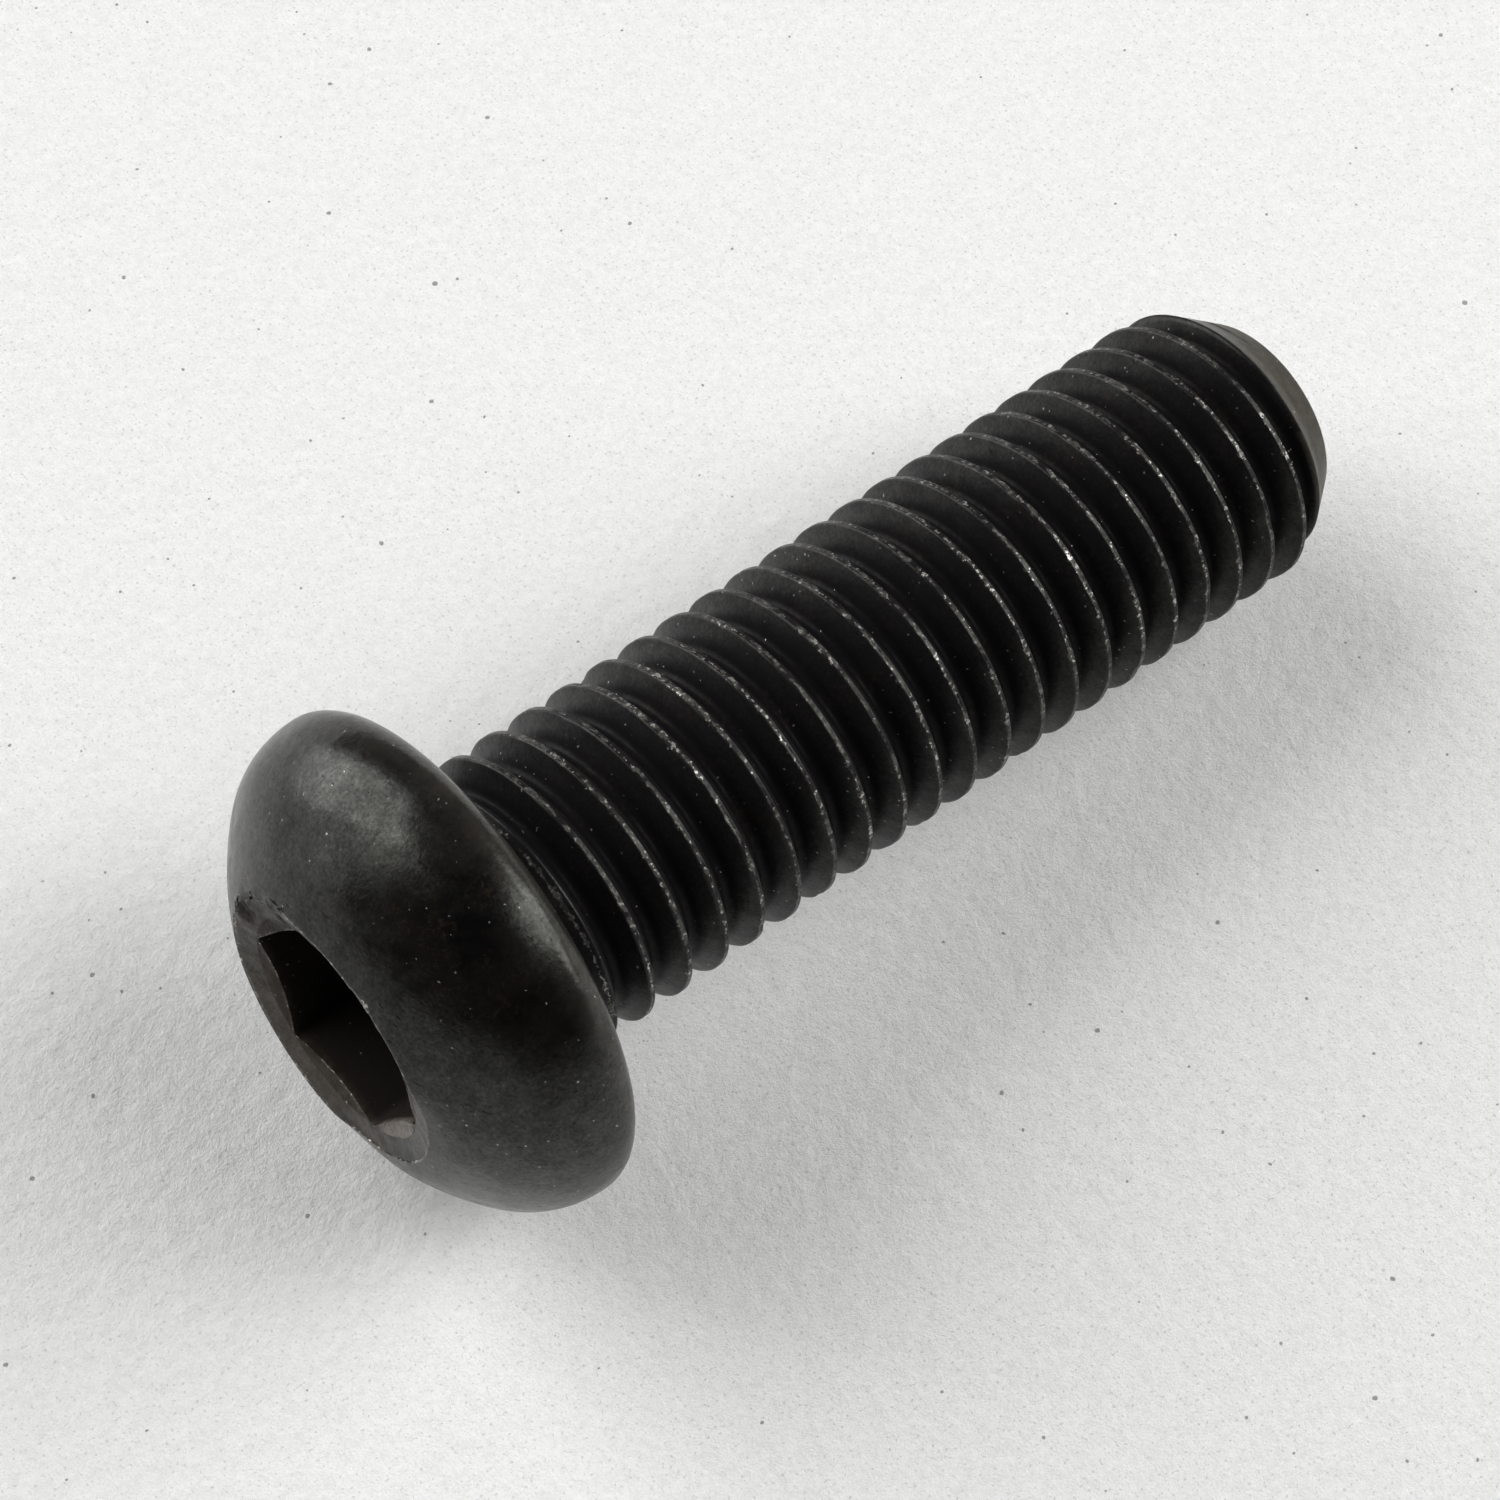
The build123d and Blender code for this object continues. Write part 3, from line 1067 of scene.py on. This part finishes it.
# %% Room
ROOM_COLOUR = (0.96, 0.98, 1.0, 1)
ROOM = 0.02
world = bpy.data.worlds.new("room")
bpy.context.scene.world = world
world.use_nodes = True
background = world.node_tree.nodes["Background"]
background.inputs["Color"].default_value = ROOM_COLOUR
background.inputs["Strength"].default_value = ROOM
print("strength of the room:", ROOM)

# %% Windows
LAMP_DISTANCE = 0.9
Window = namedtuple("Window", "name azimuth elevation width height radiance")
windows = [
    Window("left_window", 107, 29, 0.62, 1.00, 3.95),
    Window("left_wall", 139, 30, 0.36, 1.00, 1.8),
    Window("right_window", 336, 27, 0.60, 0.58, 4.8),
    Window("high_window", 314, 50, 0.38, 0.40, 3.9),
    Window("pale_wall", 45, 50, 1.60, 1.40, 0.06),
]


def direction_to(azimuth, elevation):
    """A direction from a compass turn and a height, both in degrees."""
    turn = radians(azimuth)
    rise = radians(elevation)
    return Vector((cos(turn) * cos(rise), sin(turn) * cos(rise), sin(rise)))


for window in windows:
    lamp = bpy.data.lights.new(window.name, "AREA")
    lamp.shape = "RECTANGLE"
    lamp.size = window.width
    lamp.size_y = window.height
    lamp.energy = pi * window.width * window.height * window.radiance
    holder = bpy.data.objects.new(window.name, lamp)
    holder.location = LAMP_DISTANCE * direction_to(window.azimuth, window.elevation)
    holder.rotation_euler = (-holder.location).to_track_quat("-Z", "Y").to_euler()
    bpy.context.scene.collection.objects.link(holder)
print("lamps:", [window.name for window in windows])

# %% [markdown]
# The camera looks down on the head end, so that the dome, the socket and the whole thread
# show at once.

# %% Camera
CAMERA_TURN = 50.146
CAMERA_DROP = 62.007
CAMERA_PLACE = (-32.787, -55.132, 133.839)
LENS = 97.228
SENSOR = 36
ahead = direction_to(CAMERA_TURN, -CAMERA_DROP)
lens = bpy.data.cameras.new("camera")
lens.lens = LENS
lens.sensor_width = SENSOR
lens.clip_start = 0.01
camera = bpy.data.objects.new("camera", lens)
camera.location = Vector(CAMERA_PLACE) * MM
camera.rotation_euler = ahead.to_track_quat("-Z", "Y").to_euler()
bpy.context.scene.collection.objects.link(camera)
bpy.context.scene.camera = camera
bpy.context.scene.view_settings.view_transform = "Standard"
print("camera from the bolt, mm:", round(Vector(CAMERA_PLACE).length, 1))

# %% Update the scene
bpy.context.view_layer.update()
